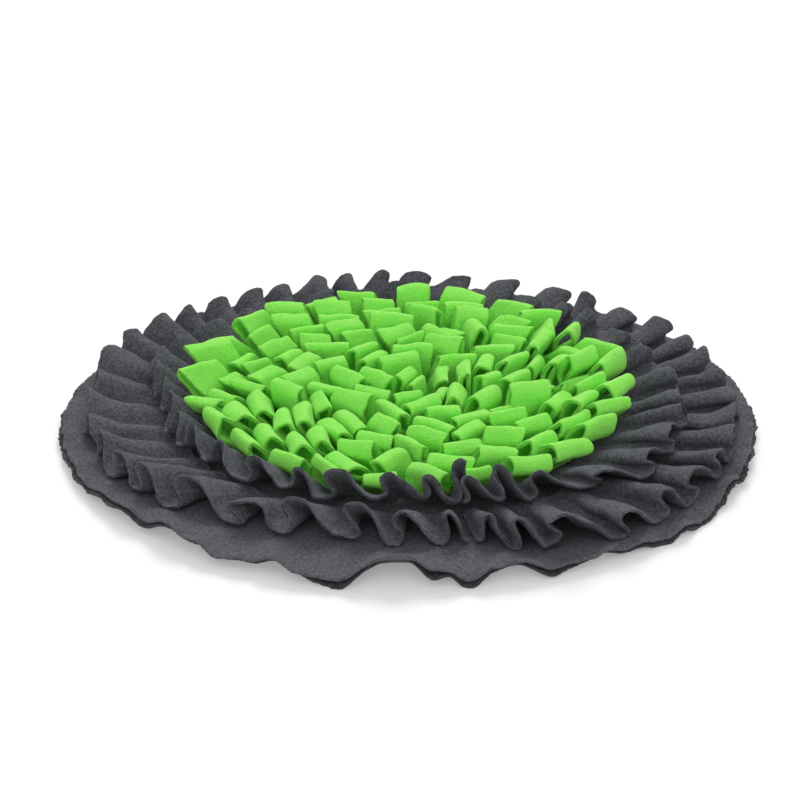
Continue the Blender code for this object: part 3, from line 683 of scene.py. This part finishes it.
class Loop:
    """A strip folded over, standing on its stitches. It widens, turns and leans with its height."""

    def __init__(self, azimuth, radius, width, height, belly, turn, lean, curl, skew):
        self.azimuth, self.radius, self.width, self.height = azimuth, radius, width, height
        self.belly, self.turn, self.lean, self.curl, self.skew = belly, turn, lean, curl, skew
        self.half_angle = math.degrees(math.asin(min(FOOT_SHARE * width / 2 / radius, MOST_SINE)))
        angle = math.radians(azimuth)
        self.along = np.array((-math.sin(angle), math.cos(angle), 0.0))
        self.across = np.array((math.cos(angle), math.sin(angle), 0.0))
        self.foot = self.across * radius * math.cos(math.radians(self.half_angle))

    def resized(self, share, rng):
        """The same loop made narrower, lower and thinner, and turned and leant a little away."""
        width, belly = max(self.width * share, SMALL_WIDTH), max(self.belly * share, SMALL_BELLY)
        height = max(self.height * (1 + share) / 2, SMALL_HEIGHT)
        away = 1 - share
        turn = self.turn * share + TRY_TURN * away * rng.uniform(-1, 1)
        turn = max(-MOST_TURN, min(MOST_TURN, turn))
        off = np.array((rng.uniform(-1, 1), rng.uniform(-1, 1)))
        lean = self.lean * (1 + share) / 2 + TRY_LEAN * away * off
        return Loop(self.azimuth, self.radius, width, height, belly, turn, lean, self.curl, self.skew)

    def section(self, room=0.0):
        """The loop's outer and inner outline, as (across, up) pairs from one foot to the other."""
        t, h, half = GREEN_THICKNESS, self.height, self.belly / 2
        near, far = h * (1 - self.curl), h * (1 + self.curl)
        outer = [
            (-t - room, 0),
            (-half - room, BELLY_HEIGHT * near),
            (-TOP_WIDTH * half - room, near + room),
            (TOP_WIDTH * half + room, far + room),
            (half + room, BELLY_HEIGHT * far),
            (t + room, 0),
        ]
        inner = [
            (0, FUSED_SHARE * h),
            (-half + t, BELLY_HEIGHT * near),
            (-TOP_WIDTH * half + t / 2, near - t),
            (TOP_WIDTH * half - t / 2, far - t),
            (half - t, BELLY_HEIGHT * far),
        ]
        return outer, inner

    def place(self, along, across, up):
        """A point of the loop in the mat's frame, widened, turned and leant by its height."""
        up *= 1 + self.skew * along / self.width
        bend = BEND_SHARE * self.height
        share = min(up / bend, 1.0)
        along *= FOOT_SHARE + (1 - FOOT_SHARE) * share
        turn = math.radians(self.turn) * share
        edgeways = (self.along * math.cos(turn) + self.across * math.sin(turn)) * along
        through = (self.across * math.cos(turn) - self.along * math.sin(turn)) * across
        most = math.hypot(*self.lean)
        way = np.array((*self.lean, 0.0)) / most
        tilt = most * share
        rest = max(up - bend, 0.0)
        shift = bend / most * (1 - math.cos(tilt)) + rest * math.sin(tilt)
        rise = bend / most * math.sin(tilt) + rest * math.cos(tilt)
        # The fold at the top keeps level, so only the loop's thickness is tilted.
        leaning = through.dot(way)
        through = through + way * leaning * (math.cos(tilt) - 1)
        height = SEAM_TOP + rise - leaning * math.sin(tilt)
        return self.foot + edgeways + through + way * shift + np.array((0, 0, height))

    def outside(self):
        """The loop's outside with some room round it, for finding what it would touch."""
        outer, _ = self.section(LOOP_ROOM)
        half = self.width / 2 + LOOP_ROOM
        points = [self.place(side, *corner) for side in (-half, half) for corner in outer]
        count = len(outer)
        faces = [(end, end + i, end + i + 1) for end in (0, count) for i in range(1, count - 1)]
        faces += band(list(range(count)), list(range(count, 2 * count)), self.turn)
        faces += [(0, count - 1, count), (count, count - 1, 2 * count - 1)]
        return BVHTree.FromPolygons([tuple(point) for point in points], faces)

    def faces(self, outer_first, outer_second, hole_first, hole_second):
        """The loop's faces, given the numbers of its points along either edge, outside and inside."""
        hole_first, hole_second = [*hole_first, hole_first[0]], [*hole_second, hole_second[0]]
        faces = band(outer_first, outer_second, self.turn)
        faces += [face[::-1] for face in band(hole_first, hole_second, self.turn)]
        for outline, hole, turned in ((outer_first, hole_first, False), (outer_second, hole_second, True)):
            end = [(outline[0], outline[-1], hole[0])]
            for a, b, c, d in zip(outline, hole, outline[1:], hole[1:]):
                end += [(a, b, c), (c, b, d)]
            faces += [face[::-1] if turned else face for face in end]
        return faces

    def foot_corner(self, side, away):
        """A corner of the loop's foot, on its row of stitches."""
        azimuth = self.azimuth + side * self.half_angle
        return on_circle(self.radius + away * GREEN_THICKNESS, azimuth, SEAM_TOP)

    def is_sound(self):
        """Whether the loop's cloth nowhere cuts through itself."""
        outer, inner = self.section()
        points, edges = [], []
        for side in (-1, 1):
            edge = [self.foot_corner(side, -1)]
            edge += [self.place(side * self.width / 2, *corner) for corner in outer[1:-1]]
            edge += [self.foot_corner(side, 1)]
            hole = [self.place(side * self.width / 2, *corner) for corner in inner]
            for run in (edge, hole):
                edges.append(list(range(len(points), len(points) + len(run))))
                points += run
        faces = self.faces(edges[0], edges[2], edges[1], edges[3])
        tree = BVHTree.FromPolygons([tuple(point) for point in points], faces)
        return all(set(faces[a]) & set(faces[b]) for a, b in tree.overlap(tree))


def band(first, second, turn):
    """Faces between a loop's two edges, each cut from high on one edge to low on the other.

    Cut alike on both legs, and to suit the way that the loop is turned, the legs keep their distance.
    """
    faces = []
    for i, (a, b, c, d) in enumerate(zip(first, first[1:], second[1:], second)):
        rising = (i < (len(first) - 1) // 2) == (turn > 0)
        faces += [(a, b, d), (b, c, d)] if rising else [(a, b, c), (a, c, d)]
    return faces


def planned_lean(x, y):
    """How loops lean at a place, in radians along X and Y."""
    sideways = math.radians(SIDE_LEAN) * x / FIELD_RADIUS * (math.hypot(x, y) / FIELD_RADIUS)
    return np.array((sideways, math.radians(BACK_LEAN * y / FIELD_RADIUS - FORWARD_LEAN)))


def planned_height(x, y):
    """How tall loops stand at a place."""
    return (MIDDLE_HEIGHT + BACK_RISE * y / FIELD_RADIUS + SIDE_RISE * (x / FIELD_RADIUS) ** 2) * MM


def nearest_shares(start, step, other_start, other_step):
    """How far along each of many pairs of straight pieces, as shares, the two come nearest."""
    gap = start - other_start
    own, other = (step * step).sum(axis=1), (other_step * other_step).sum(axis=1)
    both = (step * other_step).sum(axis=1)
    here, there = (step * gap).sum(axis=1), (other_step * gap).sum(axis=1)
    spread = np.maximum(own * other - both * both, NEAR_ZERO * own * other)
    share = np.clip((both * there - here * other) / spread, 0, 1)
    other_share = np.clip((both * share + there) / other, 0, 1)
    return np.clip((both * other_share - here) / own, 0, 1), other_share


def settled_crowns(feet, legs, tangents, ways, halves, radii, middles):
    """The middles and directions of the loops' round tops once they have pushed each other aside.

    Each top is held at its leg's length from its foot and keeps nearly level.
    """
    levels, thick = np.array(PUSH_LEVELS).T
    i, j = np.triu_indices(len(feet), 1)
    near = np.linalg.norm(feet[i] - feet[j], axis=1) < NEIGHBOUR_REACH
    combined = [(i[near], j[near], p, q) for p in range(len(levels)) for q in range(len(levels))]
    azimuths = [math.degrees(math.atan2(y, x)) for x, y, _ in feet]
    reach = np.array([read_round(LOOP_REACH, azimuth, 1) for azimuth in azimuths]) * MM
    spans = halves[:, None] * ways
    root_spans = FOOT_SHARE * halves[:, None] * tangents
    roots = np.stack([feet - root_spans, feet + root_spans], axis=1)
    ends = np.stack([middles - spans, middles + spans], axis=1)
    for _ in range(SETTLE_STEPS):
        moves = np.zeros_like(ends)
        for i, j, p, q in combined:
            mine = roots[i] + (ends[i] - roots[i]) * levels[p]
            other = roots[j] + (ends[j] - roots[j]) * levels[q]
            step, other_step = mine[:, 1] - mine[:, 0], other[:, 1] - other[:, 0]
            share, other_share = nearest_shares(mine[:, 0], step, other[:, 0], other_step)
            apart = mine[:, 0] + step * share[:, None] - other[:, 0]
            apart -= other_step * other_share[:, None]
            distance = np.maximum(np.linalg.norm(apart, axis=1), NEAR_ZERO)
            depth = np.maximum(radii[i] * thick[p] + radii[j] * thick[q] + SETTLE_ROOM - distance, 0)
            push = apart * (PUSH_SHARE * depth / distance)[:, None] * (1, 1, PUSH_LEVEL)
            for which, where, way in ((i, share, levels[p]), (j, other_share, -levels[q])):
                np.add.at(moves[:, 0], which, way * push * (1 - where)[:, None])
                np.add.at(moves[:, 1], which, way * push * where[:, None])
        ends += moves
        out = np.linalg.norm(ends[:, :, :2], axis=2)
        over = np.maximum(out + radii[:, None] - reach[:, None], 0)
        ends[:, :, :2] -= ends[:, :, :2] * (over / np.maximum(out, NEAR_ZERO))[:, :, None] / 2
        leg = ends.mean(axis=1) - feet
        leg[:, 2] = np.maximum(leg[:, 2], np.linalg.norm(leg[:, :2], axis=1) / math.tan(MOST_LEAN))
        middles = feet + leg * (legs / np.linalg.norm(leg, axis=1))[:, None]
        ways = (ends[:, 1] - ends[:, 0]) * (1, 1, LEVELLING)
        ways /= np.linalg.norm(ways, axis=1)[:, None]
        ends = np.stack([middles - ways * halves[:, None], middles + ways * halves[:, None]], axis=1)
    return middles, ways


def settled_loops(places, rng):
    """A loop for each place, uneven in size and direction, moved clear of its neighbours."""
    feet, sizes, ways, leans = [], [], [], []
    for azimuth, radius in places:
        x, y, _ = foot = on_circle(radius, azimuth, SEAM_TOP)
        out = radius / FIELD_RADIUS
        width, belly = rng.uniform(*LOOP_WIDTH), rng.uniform(*LOOP_BELLY)
        feet.append(foot)
        sizes.append((width, planned_height(x, y) * rng.uniform(*LOOP_HEIGHT_SPREAD), belly))
        spread = LOOP_WAY_SPREAD * (2 - out)
        ways.append(math.radians(read_round(LOOP_WAYS, azimuth, 1) + rng.uniform(-spread, spread)))
        leans.append(planned_lean(x, y) + (rng.gauss(0, LOOP_LEAN_SPREAD), rng.gauss(0, LOOP_LEAN_SPREAD)))
    feet, (widths, heights, bellies) = np.array(feet), np.array(sizes).T
    legs = heights - bellies / 2
    ways = np.array([(math.cos(way), math.sin(way), 0) for way in ways])
    middles = feet + np.array([(*lean, 1) for lean in leans]) * legs[:, None]
    tangents = np.array([(-y, x, 0) for x, y, _ in feet]) / np.linalg.norm(feet[:, :2], axis=1)[:, None]
    tangents *= np.where((tangents * ways).sum(axis=1) < 0, -1, 1)[:, None]
    halves = (widths - bellies / 2) / 2
    middles, ways = settled_crowns(feet, legs, tangents, ways, halves, bellies / 2, middles)
    loops = []
    for (azimuth, radius), foot, size, middle, way in zip(places, feet, sizes, middles, ways):
        turn = 90 - (math.degrees(math.atan2(way[1], way[0])) - azimuth) % 180
        leg = middle - foot
        # A loop leans evenly over its lower part, so its top leans further than the line from its foot.
        lean = leg[:2] / np.linalg.norm(leg[:2]) * math.atan2(np.linalg.norm(leg[:2]), leg[2]) * LEAN_GAIN
        skew = rng.uniform(-LOOP_SKEW_SPREAD, LOOP_SKEW_SPREAD)
        curl = rng.uniform(-LOOP_CURL_SPREAD, LOOP_CURL_SPREAD)
        turn = max(-MOST_TURN, min(MOST_TURN, turn))
        loops.append(Loop(azimuth, radius, *size, turn, lean, curl, skew))
    return loops


def small_loop(azimuth, radius):
    """The least loop, for which a place is kept free."""
    x, y, _ = on_circle(radius, azimuth, 0)
    return Loop(azimuth, radius, SMALL_WIDTH, SMALL_HEIGHT, SMALL_BELLY, 0, planned_lean(x, y), 0, 0)


def fitted_loops(loops, rng, obstacle):
    """The loops made smaller, each as little as needed, until none touches another or the ruffle."""
    fitted = [small_loop(loop.azimuth, loop.radius) for loop in loops]
    outsides = [loop.outside() for loop in fitted]
    feet = np.array([loop.foot for loop in loops])
    for index, loop in enumerate(loops):
        apart = np.linalg.norm(feet - feet[index], axis=1)
        near = [outsides[i] for i in np.flatnonzero(apart < NEIGHBOUR_REACH) if i != index]
        for attempt in range(LOOP_TRIES):
            smaller = loop.resized(1 - SHRINK_PER_TRY * attempt, rng)
            outside = smaller.outside()
            if any(outside.overlap(other) for other in [*near, obstacle]):
                continue
            if smaller.is_sound():
                fitted[index], outsides[index] = smaller, outside
                break
    return fitted


# Where the points across a strip lie: at these distances from its cut edges in mm, and evenly between.
EDGE_DISTANCES = (0, 0.25, 0.7, 1.3)
STATIONS_BETWEEN = 7
CURVE_STEPS = 5
PILE_THICKNESS = 3.1 * MM  # the cloth with its pile standing
HALF_FOOT_GAP = 0.1 * MM
VISIBLE_FOOT = 1.15  # width of a strip's foot as a share of its top, wider than the pinched solid's
FOOT_SPREAD = 4 * MM  # how far a strip's sewn-down ends spread on the base
LAST_ROW_SPREAD = 0.8 * MM  # the last row stands close to the inner ruffle
FOOT_LIFT = 0.7 * MM  # how far a spread end has left the base half way to its leg
FOOT_TOP = 0.12  # where the leg begins, as a share of the loop's height
# A leg. Columns: how far out as a share of half the belly, how high as a share of the loop's height.
LEG_LINE = (
    (0.44, 0.23),
    (0.68, 0.46),
)
# The round top. Columns: how far out as a share of its half width, how far down as a share of half the belly.
TOP_LINE = (
    (1, 1.05),
    (0.76, 0.42),
)
FLARE_SPREAD = 0.26  # how much wider one end of a loop's opening may be than its middle
CORNER_DROOP = (-0.4 * MM, 1.8 * MM)
RAGGEDNESS = 0.05  # how unevenly a strip was cut, as a share of its width
RAGGED_STEPS = 6
LOOP_CRUMPLE_LENGTH = 13 * MM
LOOP_CRUMPLE = 1.5 * MM
LOOP_CRUMPLE_SEEDS = (0, 5.5, 11.5)
SEWN_IN = 1.02  # a strip's length from foot over crown to foot, against what its loop shows


def leg_line(side, height, half, spread):
    """The middle of the cloth on one side of a loop, from its end on the base to near the crown."""
    foot = PILE_THICKNESS / 2 + HALF_FOOT_GAP
    laid = PILE_THICKNESS / 2 - TAPE_HEIGHT
    line = [(foot + 2 * spread, laid), (foot + spread, laid), (foot + spread / 2, laid + FOOT_LIFT)]
    line.append((foot, FOOT_TOP * height))
    line += [(out * half, up * height) for out, up in LEG_LINE]
    line += [(out * (half - PILE_THICKNESS / 2), height - down * half) for out, down in TOP_LINE]
    return [(side * out, up) for out, up in line]


def middle_line(loop):
    """The middle of the folded strip's thickness, from one foot over the crown to the other foot."""
    h, half = loop.height, loop.belly / 2
    near, far = h * (1 - loop.curl), h * (1 + loop.curl)
    spread = FOOT_SPREAD if loop.radius < FIELD_RADIUS - RING_PITCH / 2 else LAST_ROW_SPREAD
    crown = (0, (near + far) / 2 - PILE_THICKNESS / 2)
    knots = np.array([*leg_line(-1, near, half, spread), crown, *leg_line(1, far, half, spread)[::-1]])
    line = []
    for a, b, c, d in zip(knots, knots[1:], knots[2:], knots[3:]):
        for s in np.arange(CURVE_STEPS) / CURVE_STEPS:
            square, cube = 2 * a - 5 * b + 4 * c - d, 3 * b - a - 3 * c + d
            line.append((2 * b + (c - a) * s + square * s**2 + cube * s**3) / 2)
    return np.array([*line, knots[-2]])


def loop_grid(loop, rng):
    """Points on the middle of one loop's cloth, and its thickness at each."""
    line = middle_line(loop)
    half = loop.width / 2
    edge = [half - distance * MM for distance in EDGE_DISTANCES]
    inner = np.linspace(-edge[-1], edge[-1], STATIONS_BETWEEN + 2)[1:-1]
    stations = [-side for side in edge] + inner.tolist() + edge[::-1]
    flare = rng.uniform(-FLARE_SPREAD, FLARE_SPREAD)
    corner_droop = rng.uniform(*CORNER_DROOP)
    seed = rng.uniform(0, 50)
    grid = np.empty((len(line), len(stations), 3))
    thickness = np.empty(grid.shape[:2])
    for i, (across, up) in enumerate(line):
        share = max(up, 0) / loop.height
        low = min(share / BEND_SHARE, 1)
        widening = (VISIBLE_FOOT + (1 - VISIBLE_FOOT) * low) / (FOOT_SHARE + (1 - FOOT_SHARE) * low)
        for j, along in enumerate(stations):
            wide = across * (1 + flare * along / half)
            droop = corner_droop * share**2 * (along / half) ** 2
            ragged = 1 + RAGGEDNESS * share * crumple((i / RAGGED_STEPS, seed, along), 1, seed)
            point = loop.place(along * ragged * widening, wide, max(up - droop, -TAPE_HEIGHT))
            swells = [crumple(point, LOOP_CRUMPLE_LENGTH, seed + k) for k in LOOP_CRUMPLE_SEEDS]
            grid[i, j] = point + LOOP_CRUMPLE * share * np.array(swells)
            thickness[i, j] = PILE_THICKNESS * roll_off(half - abs(along))
    return grid, thickness


def loop_row(name, node, loops, rng):
    """A row of loops, caught by their feet in the row's stitches, and the area of its cloth."""
    points, faces, cuts = [], [], []
    flat_area = 0
    for loop in loops:
        more, more_faces, cut = cloth(*loop_grid(loop, rng))
        count = sum(map(len, points))
        points.append(more)
        faces += (np.array(more_faces) + count).tolist()
        cuts.append(cut)
        flat_area += loop.width * np.linalg.norm(np.diff(middle_line(loop), axis=0), axis=1).sum()
    points, cut = np.concatenate(points), np.concatenate(cuts)
    return make_piece(name, points, faces, cut, green_fleece, "loop_fleece", node), flat_area


green_fleece = fleece(
    "green_fleece",
    shade=(0.20, 0.90, 0.075),
    light=(0.42, 0.97, 0.18),
    mottle=420,
    grain=1300,
    contrast=1,
    nap=2.2 * MM,
    nap_size=480,
    edge=0,
    sheen=0.1,
    soft=0.7,
)


def ruffle_outside(grid):
    """A ruffle's outside, for finding what would touch it."""
    points, quads, _ = cloth(grid, np.full(grid.shape[:2], GREY_THICKNESS))
    faces = [half for a, b, c, d in quads for half in ((a, b, c), (a, c, d))]
    return BVHTree.FromPolygons(points.tolist(), faces)


inner_ruffle = ruffle_outside(ruffle_grid(*inner_shape, COARSE_FOLD_STEPS, COARSE_ROWS_ACROSS))
loop_rng = random.Random(LOOP_SEED)
ring_radii = [FIRST_RING_RADIUS + ring * RING_PITCH for ring in range(LOOP_RINGS)]
loop_places = []
for ring_radius in reversed(ring_radii):
    count = round(math.tau * ring_radius / LOOP_PITCH)
    first_azimuth = loop_rng.uniform(0, 360 / count)
    loop_places += [(first_azimuth + 360 * number / count, ring_radius) for number in range(count)]
all_loops = fitted_loops(settled_loops(loop_places, loop_rng), loop_rng, inner_ruffle)
crumple_rng = random.Random(CRUMPLE_SEED)
for ring, ring_radius in enumerate(ring_radii):
    in_ring = [loop for loop in all_loops if loop.radius == ring_radius]
    row, area = loop_row(f"loop_row_{ring + 1}", f"loop_ring_{ring + 1}", in_ring, crumple_rng)
    length = sum(loop.width for loop in in_ring)
    over_crown = SEWN_IN * area / length

# Floor, light and camera
#
# The mat lies on a white floor. A soft lamp shines from above its back and a wider one from low at the front,
# with even light from all round.

FLOOR_SIZE = 60.0
FLOOR_SHADE = 0.76
CAMERA_DISTANCE = 1.25
CAMERA_ELEVATION = math.radians(24.8)

floor_finish = bpy.data.materials.new("studio_floor")
floor_finish.use_nodes = True
floor_shader = floor_finish.node_tree.nodes["Principled BSDF"]
floor_shader.inputs["Base Color"].default_value = (FLOOR_SHADE, FLOOR_SHADE, FLOOR_SHADE, 1)
floor_shader.inputs["Roughness"].default_value = 0.9
floor_shader.inputs["Specular IOR Level"].default_value = 0.1
floor_shader.inputs["Emission Color"].default_value = (1, 1, 1, 1)
floor_shader.inputs["Emission Strength"].default_value = 0.24
floor_mesh = bpy.data.meshes.new("floor")
corner = FLOOR_SIZE / 2
floor_corners = [(x * corner, y * corner, 0) for x, y in ((-1, -1), (1, -1), (1, 1), (-1, 1))]
floor_mesh.from_pydata(floor_corners, [], [(0, 1, 2, 3)])
floor_mesh.materials.append(floor_finish)
floor = bpy.data.objects.new("floor", floor_mesh)
bpy.context.scene.collection.objects.link(floor)

world = bpy.data.worlds.new("studio")
bpy.context.scene.world = world
world.use_nodes = True
world.node_tree.nodes["Background"].inputs["Color"].default_value = (1, 1, 1, 1)
world.node_tree.nodes["Background"].inputs["Strength"].default_value = 0.52

# Columns: name, strength, degrees across the lamp, tilt and roll of the light in degrees.
LAMPS = (
    ("lamp_above_the_back", 1.85, 30, -50, 5),
    ("lamp_at_the_front", 1.3, 90, 64, 0),
)
for name, strength, spread, tilt, roll in LAMPS:
    sun = bpy.data.lights.new(name, "SUN")
    sun.energy = strength
    sun.angle = math.radians(spread)
    lamp = bpy.data.objects.new(name, sun)
    lamp.rotation_euler = (math.radians(tilt), math.radians(roll), 0)
    bpy.context.scene.collection.objects.link(lamp)

camera_data = bpy.data.cameras.new("camera")
camera_data.lens = 77.5
camera_data.sensor_width = 36
camera_data.shift_x = -0.01125
camera_data.shift_y = 0.02125
camera = bpy.data.objects.new("camera", camera_data)
camera.location = (
    0,
    -CAMERA_DISTANCE * math.cos(CAMERA_ELEVATION),
    CAMERA_DISTANCE * math.sin(CAMERA_ELEVATION),
)
camera.rotation_euler = (math.pi / 2 - CAMERA_ELEVATION, 0, 0)
bpy.context.scene.collection.objects.link(camera)
bpy.context.scene.camera = camera
bpy.context.scene.view_settings.view_transform = "Standard"
